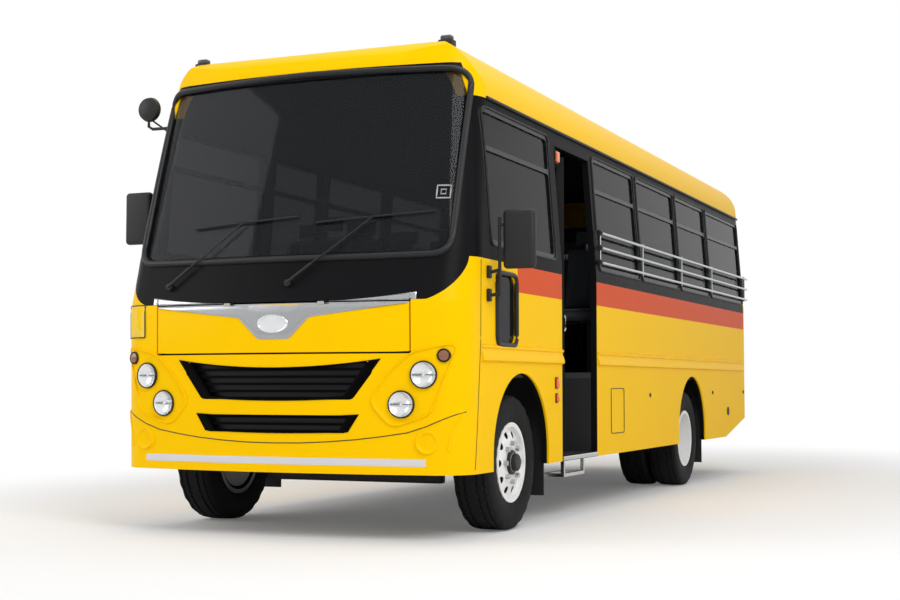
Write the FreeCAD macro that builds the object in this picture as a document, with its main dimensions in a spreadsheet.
"""School bus with a folding nearside door, rear emergency door and front service flap.

Frame: +Z up, the bus faces -Y, +X is its nearside (left), origin on the ground at mid-length and mid-width.
"""
import FreeCAD
import Part
import Sketcher
import math
import os
from types import SimpleNamespace

from FreeCAD import Placement, Rotation, Vector

# Driving sizes in millimetres, angles in degrees, grouped by the piece that they describe.
SIZES = {
    # Running gear positions and the body's overall shape
    "wheelbase": 4200,
    "front_overhang": 1020,
    "rear_overhang": 2350,
    "half_width": 1109,
    "skirt_z": 370,
    "trim_z": 1305,
    "screen_base_z": 1530,
    "waist_z": 1600,
    "cant_z": 2500,
    "roof_z": 2900,
    "wall": 45,
    "overrun": 60,
    "skirt_setback": 20,
    "screen_setback": 65,
    "nose_crown": 49,
    "nose_sweep": 156,
    "nose_radius": 4970,
    "nose_corner_radius": 220,
    "tail_corner_radius": 180,
    "shoulder_radius": 400,
    "shoulder_inset": 196,
    "shoulder_drop": 48,
    "crown_radius": 7600,
    "crown_peak": 23.5,
    "brow_z": 2690,
    "brow_radius": 250,
    "brow_setback": 472,
    "brow_corner_z": 2823,
    "brow_crest_setback": 775,
    "brow_crest_radius": 1200,
    "tail_roof_radius": 250,
    "seam_setback": 300,
    "cant_seam_setback": 480,
    "rear_seam_setback": 190,
    "tail_ramp_length": 1014,
    "tail_ramp_rise": 190,
    "arch_radius": 470,
    "arch_centre_z": 455,
    # Windscreen
    "screen_half_width": 985,
    "screen_low_z": 1590,
    "screen_high_z": 2640,
    "screen_corner_radius": 90,
    "glass": 6,
    "glass_inset": 12,
    # Front mask, bumper, grille and service flap
    "mask_top_z": 1320,
    "bumper_seam_z": 545,
    "bumper_flat_half_width": 600,
    "bumper_wing_half_width": 1050,
    "bumper_wing_z": 715,
    "grille_top_z": 985,
    "grille_low_z": 775,
    "grille_top_half_width": 645,
    "grille_low_half_width": 480,
    "grille_radius": 45,
    "slot_top_z": 690,
    "slot_low_z": 592,
    "slot_top_half_width": 510,
    "slot_low_half_width": 440,
    "slot_radius": 30,
    "slat": 14,
    "slat_pitch": 40,
    "grille_recess": 15,
    "flap_half_width": 806,
    "flap_low_z": 1037,
    "flap_gap": 10,
    "flap_axis_lead": 6,
    "flap_axis_drop": 7,
    "flap_hinge_x": 300,
    "flap_barrel_radius": 5,
    "flap_barrel_length": 40,
    "flap_pin_radius": 2.5,
    # Lamps
    "lamp_radius": 72,
    "lamp_proud": 12,
    "upper_lamp_x": 888,
    "upper_lamp_z": 911,
    "lower_lamp_x": 761,
    "lower_lamp_z": 751,
    "turn_lamp_x": 996,
    "turn_lamp_z": 1015,
    "turn_lamp_radius": 32,
    "upper_lamp_setback": 84,
    "lower_lamp_setback": 70,
    "turn_lamp_setback": 112,
    "marker_x": 822,
    "marker_setback": 555,
    "marker_length": 90,
    "marker_width": 50,
    "marker_height": 34,
    "marker_low_z": 2750,
    "tail_lamp_x": 900,
    "tail_lamp_z": 1050,
    "tail_lamp_width": 110,
    "tail_lamp_height": 330,
    "tail_lamp_depth": 30,
    # Side windows, kerb window and doorway, measured along the bus from the front axle
    "window_low_z": 1650,
    "window_high_z": 2440,
    "window_bar_z": 2205,
    "window_radius": 50,
    "sash": 28,
    "cab_window_start": -520,
    "cab_window_end": 630,
    "door_start": 740,
    "door_end": 1474,
    "door_sill_z": 400,
    "door_top_z": 2400,
    "pillar_width": 70,
    "pillar_one": 1520,
    "pillar_two": 2620,
    "pillar_three": 3820,
    "pillar_four": 4925,
    "pillar_five": 6350,
    "kerb_window_start": -420,
    "kerb_window_end": -110,
    "kerb_window_low_z": 1090,
    "kerb_window_high_z": 1490,
    "kerb_window_radius": 70,
    # Folding door
    "leaf_gap": 8,
    "leaf_thickness": 30,
    "leaf_recess": 8,
    "leaf_frame": 50,
    "leaf_rail_z": 1250,
    "leaf_radius": 40,
    "leaf_edge": 20,
    "pivot_height": 30,
    "pivot_half_width": 18,
    "fold_barrel_radius": 11,
    "fold_pin_radius": 5,
    "door_open_angle": 71,
    "hinge_pin_radius": 9,
    # Rear emergency door
    "exit_half_width": 390,
    "exit_low_z": 960,
    "exit_high_z": 2330,
    "exit_radius": 60,
    "exit_gap": 7,
    "exit_glass_low_z": 1560,
    "exit_glass_margin": 80,
    "exit_pin_lead": 14,
    "exit_barrel_radius": 10,
    "exit_barrel_length": 60,
    "exit_pin_radius": 5,
    "exit_strap_length": 70,
    "exit_strap": 6,
    "exit_hinge_inset": 200,
    "rear_window_width": 440,
    "plate_hole_spacing": 300,
    "plate_hole_radius": 3.5,
    "plate_z": 780,
    # Floor and steps
    "floor_z": 940,
    "floor_thickness": 40,
    "step_two_z": 670,
    "step_depth": 390,
    "step_two_depth": 219,
    "cheek": 8,
    "step_sheet": 25,
    "foot_step_z": 260,
    "foot_step_width": 430,
    "foot_step_depth": 150,
    "foot_step_bar": 22,
    # Chassis frame
    "rail_outer_x": 430,
    "rail_width": 70,
    "rail_web": 10,
    "rail_top_z": 860,
    "rail_height": 225,
    "frame_front_setback": 150,
    "frame_rear_setback": 140,
    "cross_member": 60,
    "tow_lug_half_width": 60,
    "tow_lug_length": 120,
    "tow_lug_height": 50,
    "tow_bore_radius": 17,
    "tow_bore_edge": 45,
    "outrigger_width": 40,
    "floor_front_setback": 200,
    # Axles and springs
    "tyre_radius": 398.5,
    "tyre_width": 235,
    "tyre_face_x": 1050,
    "twin_spacing": 265,
    "rim_radius": 222,
    "rim_flange_radius": 236,
    "rim_wall": 12,
    "rim_lip": 8,
    "disc_thickness": 12,
    "nut_face_radius": 140,
    "hub_bore_depth": 90,
    "hub_cap": 30,
    "hub_cap_radius": 55,
    "tyre_shoulder": 60,
    "tyre_wall_radius": 25,
    "tyre_tread_radius": 18,
    "drum_offset": 95,
    "twin_drum_gap": 60,
    "spindle_radius": 40,
    "hub_radius": 80,
    "drum_radius": 190,
    "drum_depth": 80,
    "stub_radius": 35,
    "pin_gap": 0.3,
    "face_gap": 6,
    "vent_radius": 22,
    "vent_circle_radius": 168,
    "kingpin_x": 765,
    "kingpin_radius": 18,
    "knuckle_ear": 34,
    "knuckle_width": 90,
    "knuckle_web": 19,
    "knuckle_web_offset": 48,
    "axle_beam_width": 80,
    "axle_beam_height": 90,
    "axle_drop": 70,
    "axle_end_half_height": 50,
    "axle_end_radius": 38,
    "rear_tube_radius": 62,
    "banjo_radius": 190,
    "spring_x": 395,
    "spring_width": 64,
    "spring_height": 60,
    "spring_half_length": 650,
    "spring_eye": 90,
    "spring_camber": 90,
    "spring_clamp": 90,
    # Engine, driveline, exhaust and tank
    "engine_half_width": 320,
    "engine_front_setback": 330,
    "engine_length": 1000,
    "engine_low_z": 460,
    "engine_gap": 10,
    "shaft_radius": 45,
    "exhaust_radius": 38,
    "silencer_radius": 110,
    "silencer_length": 800,
    "silencer_x": 640,
    "silencer_z": 680,
    "silencer_start": 2400,
    "exhaust_reach": 200,
    "tank_x": 460,
    "tank_width": 420,
    "tank_length": 1100,
    "tank_height": 420,
    "tank_start": 1150,
    "tank_radius": 60,
    # Cab
    "dash_depth": 420,
    "dash_setback": 190,
    "dash_shelf_rise": 30,
    "dash_top_z": 1380,
    "dash_radius": 40,
    "dash_hood": 60,
    "wheel_x": -480,
    "wheel_setback": 760,
    "wheel_z": 1500,
    "wheel_ring_radius": 225,
    "wheel_rim_radius": 15,
    "wheel_tilt": 35,
    "wheel_hub_radius": 60,
    "column_length": 500,
    "column_radius": 30,
    "seat_width": 480,
    "driver_seat_start": 330,
    # Passenger seats
    "bench_width": 760,
    "bench_gap": 46,
    "bench_pitch": 720,
    "bench_start_left": 1750,
    "bench_start_right": 500,
    "bench_seat_z": 1400,
    "bench_depth": 400,
    "bench_cushion": 90,
    "bench_back_z": 2010,
    "bench_back": 70,
    "bench_leg": 60,
    "grab_pole_radius": 16,
    "grab_pole_x": 560,
    # Mirrors, wipers, guard rails and mudflaps
    "mirror_reach": 1400,
    "mirror_width": 195,
    "mirror_height": 330,
    "mirror_depth": 60,
    "mirror_low_z": 1500,
    "mirror_radius": 40,
    "mirror_arm_low_z": 1357,
    "mirror_arm_high_z": 1487,
    "mirror_right_low_z": 1740,
    "mirror_offset": -560,
    "mirror_right_offset": -440,
    "round_mirror_offset": -430,
    "round_mirror_x": 1250,
    "round_mirror_drop": 130,
    "mirror_arm_radius": 11,
    "round_mirror_radius": 80,
    "round_mirror_z": 2600,
    "guard_overhang": 90,
    "guard_radius": 10,
    "guard_stand": 34,
    "guard_low_z": 1700,
    "guard_pitch": 102,
    "mudflap_thickness": 10,
    "mudflap_width": 260,
    "mudflap_low_z": 170,
    "mudflap_offset": 500,
    "wiper_pivot_left": 82,
    "wiper_pivot_right": -735,
    "wiper_pivot_z": 1430,
    "wiper_radius": 9,
    "wiper_length": 620,
    "wiper_blade_length": 700,
    "wiper_boss": 120,
    "wiper_tilt": 14,
    "wiper_setback": 20,
}
BENCH_ROWS_LEFT = 6
BENCH_ROWS_RIGHT = 8
VENT_COUNT = 10
GUARD_BARS = 3
FOLD_KNUCKLES = 5
CLIP_SHARES = (0.25, 0.75)
BEAD_SHARE = 0.42
TREAD_SHARE = 0.4
WIPER_ACROSS_SHARE = 0.75
WIPER_UP_SHARE = 0.6
BLADE_UP_SHARE = 0.1
SCREEN_RAKE_SHARE = 0.254
SIDE_LEAN_SHARE = 0.073
SHOULDER_SLOPE_SHARE = 0.466
BROW_SLOPE_SHARE = 1.19
TAIL_OVERRUN_SHARE = 3
PLANES = {
    "XY": (Rotation(), Vector(0, 0, 1), "z"),
    "XZ": (Rotation(Vector(1, 0, 0), 90), Vector(0, 1, 0), "y"),
    "YZ": (Rotation(Vector(1, 1, 1), 120), Vector(1, 0, 0), "x"),
}
AXES = {
    "x": Rotation(Vector(0, 1, 0), 90),
    "y": Rotation(Vector(1, 0, 0), -90),
    "z": Rotation(),
}


class Length:
    """A size that carries both its value and its spreadsheet expression."""

    def __init__(self, value, text):
        self.value = value
        self.text = text

    def __add__(self, other):
        return Length(self.value + value_of(other), f"({self.text} + {text_of(other)})")

    def __radd__(self, other):
        return self + other

    def __sub__(self, other):
        return Length(self.value - value_of(other), f"({self.text} - {text_of(other)})")

    def __rsub__(self, other):
        return Length(value_of(other) - self.value, f"({text_of(other)} - {self.text})")

    def __mul__(self, other):
        return Length(self.value * value_of(other), f"({self.text} * {text_of(other)})")

    def __rmul__(self, other):
        return self * other

    def __truediv__(self, other):
        return Length(self.value / value_of(other), f"({self.text} / {text_of(other)})")

    def __neg__(self):
        return Length(-self.value, f"(0 - {self.text})")


def value_of(size):
    """The plain number behind a size."""
    return size.value if isinstance(size, Length) else size


def text_of(size):
    """The sheet expression behind a size."""
    return size.text if isinstance(size, Length) else repr(size)


def cosine(angle):
    """The cosine of a sheet angle, still tied to the sheet."""
    return Length(math.cos(math.radians(value_of(angle))), f"cos({text_of(angle)})")


def sine(angle):
    """The sine of a sheet angle, still tied to the sheet."""
    return Length(math.sin(math.radians(value_of(angle))), f"sin({text_of(angle)})")


doc = FreeCAD.newDocument("SchoolBus")
sheet = doc.addObject("Spreadsheet::Sheet", "Sizes")
for row, (alias, number) in enumerate(SIZES.items(), start=1):
    sheet.set(f"A{row}", alias)
    sheet.set(f"B{row}", str(number))
    sheet.setAlias(f"B{row}", alias)
doc.recompute()
size = SimpleNamespace(**{alias: Length(sheet.get(alias), f"Sizes.{alias}") for alias in SIZES})

# Places worked out from the driving sizes
overall = size.front_overhang + size.wheelbase + size.rear_overhang
nose_y = -overall / 2
tail_y = overall / 2 - size.tail_lamp_depth
front_axle_y = nose_y + size.front_overhang
axle_z = size.tyre_radius
rear_axle_y = front_axle_y + size.wheelbase
seam_y = nose_y + size.seam_setback
cant_seam_y = nose_y + size.cant_seam_setback
rear_seam_y = tail_y - size.rear_seam_setback
inner_x = size.half_width - size.wall
count = 0


def spare(name):
    """A fresh object name for a helper solid."""
    global count
    count += 1
    return f"{name}_{count}"


def bind(item, path, length):
    """Ties one property of an object to the sheet."""
    if isinstance(length, Length):
        item.setExpression(path, length.text)


def place(item, x=0, y=0, z=0):
    """Puts an item's own origin at a place, bound to the sheet."""
    item.Placement.Base = Vector(value_of(x), value_of(y), value_of(z))
    for key, length in zip("xyz", (x, y, z)):
        bind(item, f"Placement.Base.{key}", length)
    return item


def turn(item, axis, angle):
    """Turn an item about an axis through its own origin, by a bound angle."""
    item.Placement.Rotation = Rotation(Vector(*axis), angle.value)
    bind(item, "Placement.Rotation.Angle", angle)
    return item


def block(x, y, z, name="block"):
    """A box between a low and a high place on each axis."""
    item = doc.addObject("Part::Box", spare(name))
    for path, (low, high) in zip(("Length", "Width", "Height"), (x, y, z)):
        bind(item, path, high - low)
    return place(item, x[0], y[0], z[0])


def rod(axis, radius, low, high, x=0, y=0, z=0, name="rod"):
    """A cylinder along one axis, from low to high on it."""
    item = doc.addObject("Part::Cylinder", spare(name))
    bind(item, "Radius", radius)
    bind(item, "Height", high - low)
    item.Placement.Rotation = AXES[axis]
    spot = {"x": x, "y": y, "z": z}
    spot[axis] = low
    return place(item, **spot)


def corner_arc(before, corner, after, radius):
    """Centre, tangent points and bend of the arc that rounds one corner of an outline."""
    into = (corner - before).normalize()
    out = (after - corner).normalize()
    bend = math.atan2(into.x * out.y - into.y * out.x, into.dot(out))
    reach = radius * math.tan(abs(bend) / 2)
    start = corner - into * reach
    end = corner + out * reach
    side = 1 if bend > 0 else -1
    centre = start + Vector(-into.y, into.x, 0) * radius * side
    return centre, start, end, bend


def draw(sketch, corners):
    """Draws a closed outline in a sketch: each corner is (u, v) or (u, v, radius), bound to the sheet."""
    spots = [Vector(value_of(c[0]), value_of(c[1]), 0) for c in corners]
    total = len(corners)
    arcs = {}
    for i, corner in enumerate(corners):
        if len(corner) > 2:
            arcs[i] = corner_arc(spots[i - 1], spots[i], spots[(i + 1) % total], value_of(corner[2]))
    lines = []
    for i in range(total):
        after = (i + 1) % total
        start = arcs[i][2] if i in arcs else spots[i]
        end = arcs[after][1] if after in arcs else spots[after]
        lines.append(sketch.addGeometry(Part.LineSegment(start, end), False))
    rules = []
    bound = []

    def tie(kind, *where, length=None):
        rules.append(Sketcher.Constraint(kind, *where))
        if isinstance(length, Length):
            bound.append((len(rules) - 1, length))

    for i, corner in enumerate(corners):
        before, after = lines[i - 1], lines[i]
        if i in arcs:
            centre, start, end, bend = arcs[i]
            first, last = (start, end) if bend > 0 else (end, start)
            spin = [math.atan2(p.y - centre.y, p.x - centre.x) for p in (first, last)]
            if spin[1] < spin[0]:
                spin[1] += 2 * math.pi
            circle = Part.Circle(centre, Vector(0, 0, 1), value_of(corner[2]))
            arc = sketch.addGeometry(Part.ArcOfCircle(circle, *spin), False)
            mark = sketch.addGeometry(Part.Point(spots[i]), True)
            near, far = (1, 2) if bend > 0 else (2, 1)
            tie("Tangent", before, 2, arc, near)
            tie("Tangent", arc, far, after, 1)
            tie("Radius", arc, value_of(corner[2]), length=corner[2])
            tie("PointOnObject", mark, 1, before)
            tie("PointOnObject", mark, 1, after)
            held = mark
        else:
            tie("Coincident", before, 2, after, 1)
            held = after
        for kind, length in (("DistanceX", corner[0]), ("DistanceY", corner[1])):
            if value_of(length) == 0:
                tie("PointOnObject", held, 1, -2 if kind == "DistanceX" else -1)
            else:
                tie(kind, -1, 1, held, 1, value_of(length), length=length)
    sketch.addConstraint(rules)
    for index, length in bound:
        sketch.setExpression(f"Constraints[{index}]", length.text)
    return sketch


def outline(plane, corners, level=0, name="outline"):
    """A sketch of a closed outline on a plane across one axis."""
    facing, _, axis = PLANES[plane]
    sketch = doc.addObject("Sketcher::SketchObject", spare(name))
    sketch.Placement = Placement(Vector(), facing)
    place(sketch, **{axis: level})
    return draw(sketch, corners)


def prism(plane, corners, low, high, name="prism"):
    """An outline drawn out from low to high across its plane."""
    sketch = outline(plane, corners, low, name)
    item = doc.addObject("Part::Extrusion", spare(name))
    item.Base = sketch
    item.DirMode = "Custom"
    item.Dir = PLANES[plane][1]
    item.Solid = True
    bind(item, "LengthFwd", high - low)
    return item


def plate(x, y, z, radius, axis, name="plate"):
    """A box between low and high places, its four edges along one axis rounded."""
    sides = {"x": ("YZ", y, z, x), "y": ("XZ", x, z, y), "z": ("XY", x, y, z)}
    plane, u, v, run = sides[axis]
    corners = [(u[0], v[0], radius), (u[1], v[0], radius), (u[1], v[1], radius), (u[0], v[1], radius)]
    return prism(plane, corners, run[0], run[1], name)


def spun(corners, axis, x=0, y=0, z=0, name="spun"):
    """An outline of (distance along the axis, radius) turned once about that axis."""
    facing = {"x": Rotation(), "z": Rotation(Vector(0, 1, 0), -90)}[axis]
    sketch = doc.addObject("Sketcher::SketchObject", spare(name))
    draw(sketch, corners)
    item = doc.addObject("Part::Revolution", spare(name))
    item.Source = sketch
    item.Axis = Vector(1, 0, 0)
    item.Angle = 360
    item.Solid = True
    item.Placement = Placement(Vector(), facing)
    return place(item, x, y, z)


def loft(sections, name="loft"):
    """A ruled solid through a run of outlines."""
    item = doc.addObject("Part::Loft", spare(name))
    item.Sections = sections
    item.Solid = True
    item.Ruled = True
    return item


def strut(start, end, radius, name="strut"):
    """A round bar that runs along the bus from one place to another."""
    rings = []
    for spot in (start, end):
        ring = doc.addObject("Part::Circle", spare(f"{name}_ring"))
        bind(ring, "Radius", radius)
        ring.Placement.Rotation = AXES["y"]
        rings.append(place(ring, *spot))
    return loft(rings, name)


def fuse(items, name="fuse"):
    """Solids that touch, joined into one."""
    if len(items) == 1:
        return items[0]
    item = doc.addObject("Part::MultiFuse", spare(name))
    item.Shapes = items
    return item


def gather(items, name="gather"):
    """Solids that don't touch, kept side by side."""
    item = doc.addObject("Part::Compound", spare(name))
    item.Links = items
    return item


def cut(base, tools, name="cut"):
    """A solid less its tools."""
    item = doc.addObject("Part::Cut", spare(name))
    item.Base = base
    item.Tool = tools[0] if len(tools) == 1 else gather(tools)
    return item


def common(first, second, name="common"):
    """What two solids share."""
    item = doc.addObject("Part::Common", spare(name))
    item.Base = first
    item.Tool = second
    return item


def mirrored(item, name="mirrored"):
    """The same piece on the other side of the bus."""
    twin = doc.addObject("Part::Mirroring", spare(name))
    twin.Source = item
    twin.Normal = Vector(1, 0, 0)
    return twin


nodes = {}


def keep(name, item):
    """Names a finished sub-part."""
    item.Label = name
    nodes[name] = item
    return item


def plan_corners(half, nose, tail):
    """Body outline seen from above at one height, with a bowed nose and rounded corners."""
    side_nose = nose - size.nose_crown + size.nose_sweep
    return [
        (0, nose - size.nose_crown, size.nose_radius),
        (half, side_nose, size.nose_corner_radius),
        (half, tail, size.tail_corner_radius),
        (-half, tail, size.tail_corner_radius),
        (-half, side_nose, size.nose_corner_radius),
    ]


def hull(inset, name):
    """The bus's closed outer form, drawn in by an inset on every side."""
    top_z = size.roof_z + size.overrun
    low_z = size.skirt_z - size.overrun if value_of(inset) else size.skirt_z
    lean = (top_z - size.waist_z) * SIDE_LEAN_SHARE
    rake = (top_z - size.screen_base_z) * SCREEN_RAKE_SHARE
    waist_rake = (size.waist_z - size.screen_base_z) * SCREEN_RAKE_SHARE
    levels = [
        (low_z, 0, size.skirt_setback),
        (size.trim_z, 0, 0),
        (size.screen_base_z, 0, size.screen_setback),
        (size.waist_z, 0, size.screen_setback + waist_rake),
        (top_z, lean, size.screen_setback + rake),
    ]
    sections = []
    for level, narrowing, setback in levels:
        corners = plan_corners(size.half_width - inset - narrowing, nose_y + inset + setback, tail_y - inset)
        sections.append(outline("XY", corners, level, f"{name}_plan"))
    sides = loft(sections, f"{name}_sides")
    reach = size.half_width + size.overrun - inset
    under = low_z - size.overrun
    edge_x = size.half_width - size.shoulder_inset - inset
    edge_z = size.roof_z - size.shoulder_drop - inset
    foot_z = edge_z - (reach - edge_x) / SHOULDER_SLOPE_SHARE
    section = [
        (-reach, under), (reach, under), (reach, foot_z), (edge_x, edge_z, size.shoulder_radius),
        (0, size.roof_z + size.crown_peak - inset, size.crown_radius),
        (-edge_x, edge_z, size.shoulder_radius), (-reach, foot_z),
    ]
    ahead = nose_y - size.overrun
    behind = tail_y + size.overrun / TAIL_OVERRUN_SHARE - inset
    vault = prism("XZ", section, ahead, behind + size.overrun, f"{name}_section")
    brow_y = nose_y + size.brow_setback + inset
    brow_z = size.brow_corner_z - inset
    profile = [
        (ahead, under), (behind, under), (behind, top_z - inset, size.tail_roof_radius),
        (nose_y + size.brow_crest_setback, size.roof_z - inset, size.brow_crest_radius),
        (brow_y, brow_z, size.brow_radius), (ahead, brow_z - (brow_y - ahead) * BROW_SLOPE_SHARE),
    ]
    lid = prism("YZ", profile, -reach, reach, f"{name}_profile")
    return common(sides, common(vault, lid), name)


def along(offset):
    """A place along the bus, counted back from the front axle."""
    return front_axle_y + offset


# Body shell: one thin-walled form, divided into the real panels.
outer = hull(0, "outer")
inner = hull(size.wall, "inner")
shell = cut(outer, [inner], "shell")
far_x = size.half_width + size.overrun
ahead_y = nose_y - size.overrun
behind_y = tail_y + size.overrun
front_corners = [
    (ahead_y, 0), (seam_y, 0), (seam_y, size.screen_base_z), (cant_seam_y, size.cant_z),
    (cant_seam_y, size.brow_z), (ahead_y, size.brow_z),
]
side_corners = [
    (seam_y, 0), (rear_seam_y, 0), (rear_seam_y, size.cant_z), (cant_seam_y, size.cant_z),
    (seam_y, size.screen_base_z),
]
front_zone = prism("YZ", front_corners, -far_x, far_x, "front_zone")
front_shell = common(shell, front_zone, "front_shell")


def bumper_seam(low_z):
    """Front-view outline of everything below the bumper's upper seam."""
    return [
        (-far_x, low_z), (far_x, low_z),
        (far_x, size.bumper_wing_z), (size.bumper_wing_half_width, size.bumper_wing_z),
        (size.bumper_flat_half_width, size.bumper_seam_z), (-size.bumper_flat_half_width, size.bumper_seam_z),
        (-size.bumper_wing_half_width, size.bumper_wing_z), (-far_x, size.bumper_wing_z),
    ]


def front_bumper():
    """The front's lowest panel, below the seam that rises to the wheel arches."""
    zone = prism("XZ", bumper_seam(0), ahead_y, seam_y, "bumper_zone")
    return keep("front_bumper", common(front_shell, zone))


def grille_opening():
    """The upper air opening, wider at its top."""
    corners = [
        (-size.grille_low_half_width, size.grille_low_z, size.grille_radius),
        (size.grille_low_half_width, size.grille_low_z, size.grille_radius),
        (size.grille_top_half_width, size.grille_top_z, size.grille_radius),
        (-size.grille_top_half_width, size.grille_top_z, size.grille_radius),
    ]
    return prism("XZ", corners, ahead_y, seam_y, "grille_opening")


def slot_opening():
    """The lower air slot, above the bumper."""
    corners = [
        (-size.slot_low_half_width, size.slot_low_z, size.slot_radius),
        (size.slot_low_half_width, size.slot_low_z, size.slot_radius),
        (size.slot_top_half_width, size.slot_top_z, size.slot_radius),
        (-size.slot_top_half_width, size.slot_top_z, size.slot_radius),
    ]
    return prism("XZ", corners, ahead_y, seam_y, "slot_opening")


def flap_corners(margin):
    """Front-view outline of the service flap, let out by a margin."""
    half = size.flap_half_width + margin
    return [
        (-half, size.flap_low_z - margin), (half, size.flap_low_z - margin),
        (half, size.mask_top_z), (-half, size.mask_top_z),
    ]


# Round lamps in the mask: place across, height, radius and the mask's setback there
LAMPS = (
    (size.upper_lamp_x, size.upper_lamp_z, size.lamp_radius, size.upper_lamp_setback),
    (size.lower_lamp_x, size.lower_lamp_z, size.lamp_radius, size.lower_lamp_setback),
    (size.turn_lamp_x, size.turn_lamp_z, size.turn_lamp_radius, size.turn_lamp_setback),
)


def lamp_holes():
    """Round holes for the front lamps on both sides."""
    return [
        rod("y", radius, ahead_y, seam_y, x=side * x, z=z, name="lamp_hole")
        for x, z, radius, _ in LAMPS for side in (1, -1)
    ]


def front_mask():
    """The panel between bumper and windscreen, open for the flap, the grilles and the lamps."""
    above = prism("XZ", bumper_seam(0), ahead_y - size.overrun, seam_y + size.overrun, "below_mask")
    top = block((-far_x, far_x), (ahead_y, cant_seam_y), (size.mask_top_z, size.roof_z), "above_mask")
    flap = prism("XZ", flap_corners(size.flap_gap), ahead_y, seam_y, "flap_gap")
    tools = [above, top, flap, grille_opening(), slot_opening()] + lamp_holes()
    return keep("front_mask", cut(front_shell, tools))


def front_flap():
    """Service flap in the mask, hung at its top edge; its lower edge is bevelled inside to clear the mask."""
    zone = prism("XZ", flap_corners(0), ahead_y, seam_y, "flap_zone")
    lip = block((-far_x, far_x), (ahead_y, seam_y), (size.mask_top_z - size.flap_gap, size.mask_top_z), "lip")
    clear = size.flap_barrel_radius + size.pin_gap * 3
    reliefs = [
        rod("x", clear, x[0] - size.pin_gap, x[1] + size.flap_gap, 0, flap_axis_y, flap_axis_z, "relief")
        for x in fixed_barrel_spans()
    ]
    swing_radius = flap_axis_z - size.flap_low_z + size.flap_gap / 2
    swing = rod("x", swing_radius, -far_x, far_x, y=flap_axis_y, z=flap_axis_z, name="swing")
    panel = cut(common(common(front_shell, zone), swing), [lip] + reliefs)
    return keep("front_flap", fuse([panel] + flap_hinges(True)))


flap_axis_y = nose_y + size.flap_axis_lead
flap_axis_z = size.mask_top_z - size.flap_axis_drop


def fixed_barrel_spans():
    """Where the surround's hinge barrels lie across the bus, one beside each of the flap's own."""
    spans = []
    for side in (1, -1):
        near = side * size.flap_hinge_x + size.flap_barrel_length / 2 + size.pin_gap
        spans.append((near, near + size.flap_barrel_length / 2))
    return spans


def flap_hinges(moving):
    """The flap's barrels, or the tabs and pins that hold them under the surround."""
    parts = []
    length, radius, pin_radius = size.flap_barrel_length, size.flap_barrel_radius, size.flap_pin_radius
    axis = {"y": flap_axis_y, "z": flap_axis_z}
    deep = (flap_axis_y, flap_axis_y + radius * 4)
    low_z = flap_axis_z - radius * 2
    for side, fixed in zip((1, -1), fixed_barrel_spans()):
        middle = side * size.flap_hinge_x
        if moving:
            x = (middle - length / 2, middle + length / 2)
            barrel = fuse([
                rod("x", radius, x[0], x[1], name="flap_barrel", **axis),
                block(x, deep, (low_z, flap_axis_z - pin_radius * 2), "flap_tab"),
                block(x, (deep[0] - radius, deep[0]), (low_z, flap_axis_z), "flap_lip"),
            ])
            bore = rod("x", pin_radius + size.pin_gap, x[0], x[1], name="flap_bore", **axis)
            parts.append(cut(barrel, [bore]))
        else:
            parts.append(fuse([
                rod("x", radius, fixed[0], fixed[1], name="fixed_barrel", **axis),
                block(fixed, deep, (flap_axis_z, size.mask_top_z + radius), "fixed_tab"),
                rod("x", pin_radius, middle - length / 2, fixed[1], name="flap_pin", **axis),
            ]))
    return parts


def grille():
    """Dark slats across the upper grille and the lower slot, set back from the mask's face."""
    plug = common(front_shell, gather([grille_opening(), slot_opening()]))
    gaps = []
    for low, high in ((size.slot_low_z, size.slot_top_z), (size.grille_low_z, size.grille_top_z)):
        for level in range(int(value_of(high - low) // size.slat_pitch.value) + 1):
            z = low + size.slat + size.slat_pitch * level
            gap_z = (z, z + size.slat_pitch - size.slat)
            gaps.append(block((-far_x, far_x), (ahead_y, seam_y), gap_z, "slat_gap"))
    slats = cut(plug, gaps, "slats")
    return keep("grille", place(slats, y=size.grille_recess))


def screen_opening(margin):
    """The windscreen's rounded opening, seen from the front."""
    half = size.screen_half_width + margin
    radius = size.screen_corner_radius
    corners = [
        (-half, size.screen_low_z - margin, radius), (half, size.screen_low_z - margin, radius),
        (half, size.screen_high_z + margin, radius), (-half, size.screen_high_z + margin, radius),
    ]
    return prism("XZ", corners, ahead_y, cant_seam_y, "screen_opening")


def windscreen_surround():
    """The corner posts, sill and brow round the windscreen, with the flap's hinge pins."""
    low = block((-far_x, far_x), (ahead_y, cant_seam_y), (0, size.mask_top_z), "below_surround")
    frame = cut(front_shell, [low, screen_opening(0)])
    return keep("windscreen_surround", fuse([frame] + flap_hinges(False)))


glass_layer = cut(hull(size.glass_inset, "glass_face"), [hull(size.glass_inset + size.glass, "glass_back")],
                  "glass_layer")


def windscreen():
    """Bent glass seated in the surround, its faces following the front's own form."""
    return keep("windscreen", common(glass_layer, screen_opening(0)))


# Window places along the bus, as (start, end) behind the front axle
PILLARS = (size.pillar_one, size.pillar_two, size.pillar_three, size.pillar_four, size.pillar_five)
pillar_half = size.pillar_width / 2
BAYS = [(ahead + pillar_half, behind - pillar_half) for ahead, behind in zip(PILLARS, PILLARS[1:])]
cab_bay = (size.cab_window_start, size.cab_window_end)
door_bay = (size.door_start, size.door_end)
left_bays = [cab_bay] + BAYS
right_bays = [cab_bay, door_bay] + BAYS
window_z = (size.window_low_z, size.window_high_z)


def window_plate(bay, margin, name):
    """A rounded block that runs out through the left wall at one window."""
    y = (along(bay[0]) + margin, along(bay[1]) - margin)
    z = (window_z[0] + margin, window_z[1] - margin)
    return plate((0, far_x), y, z, size.window_radius - margin, "x", name)


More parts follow.
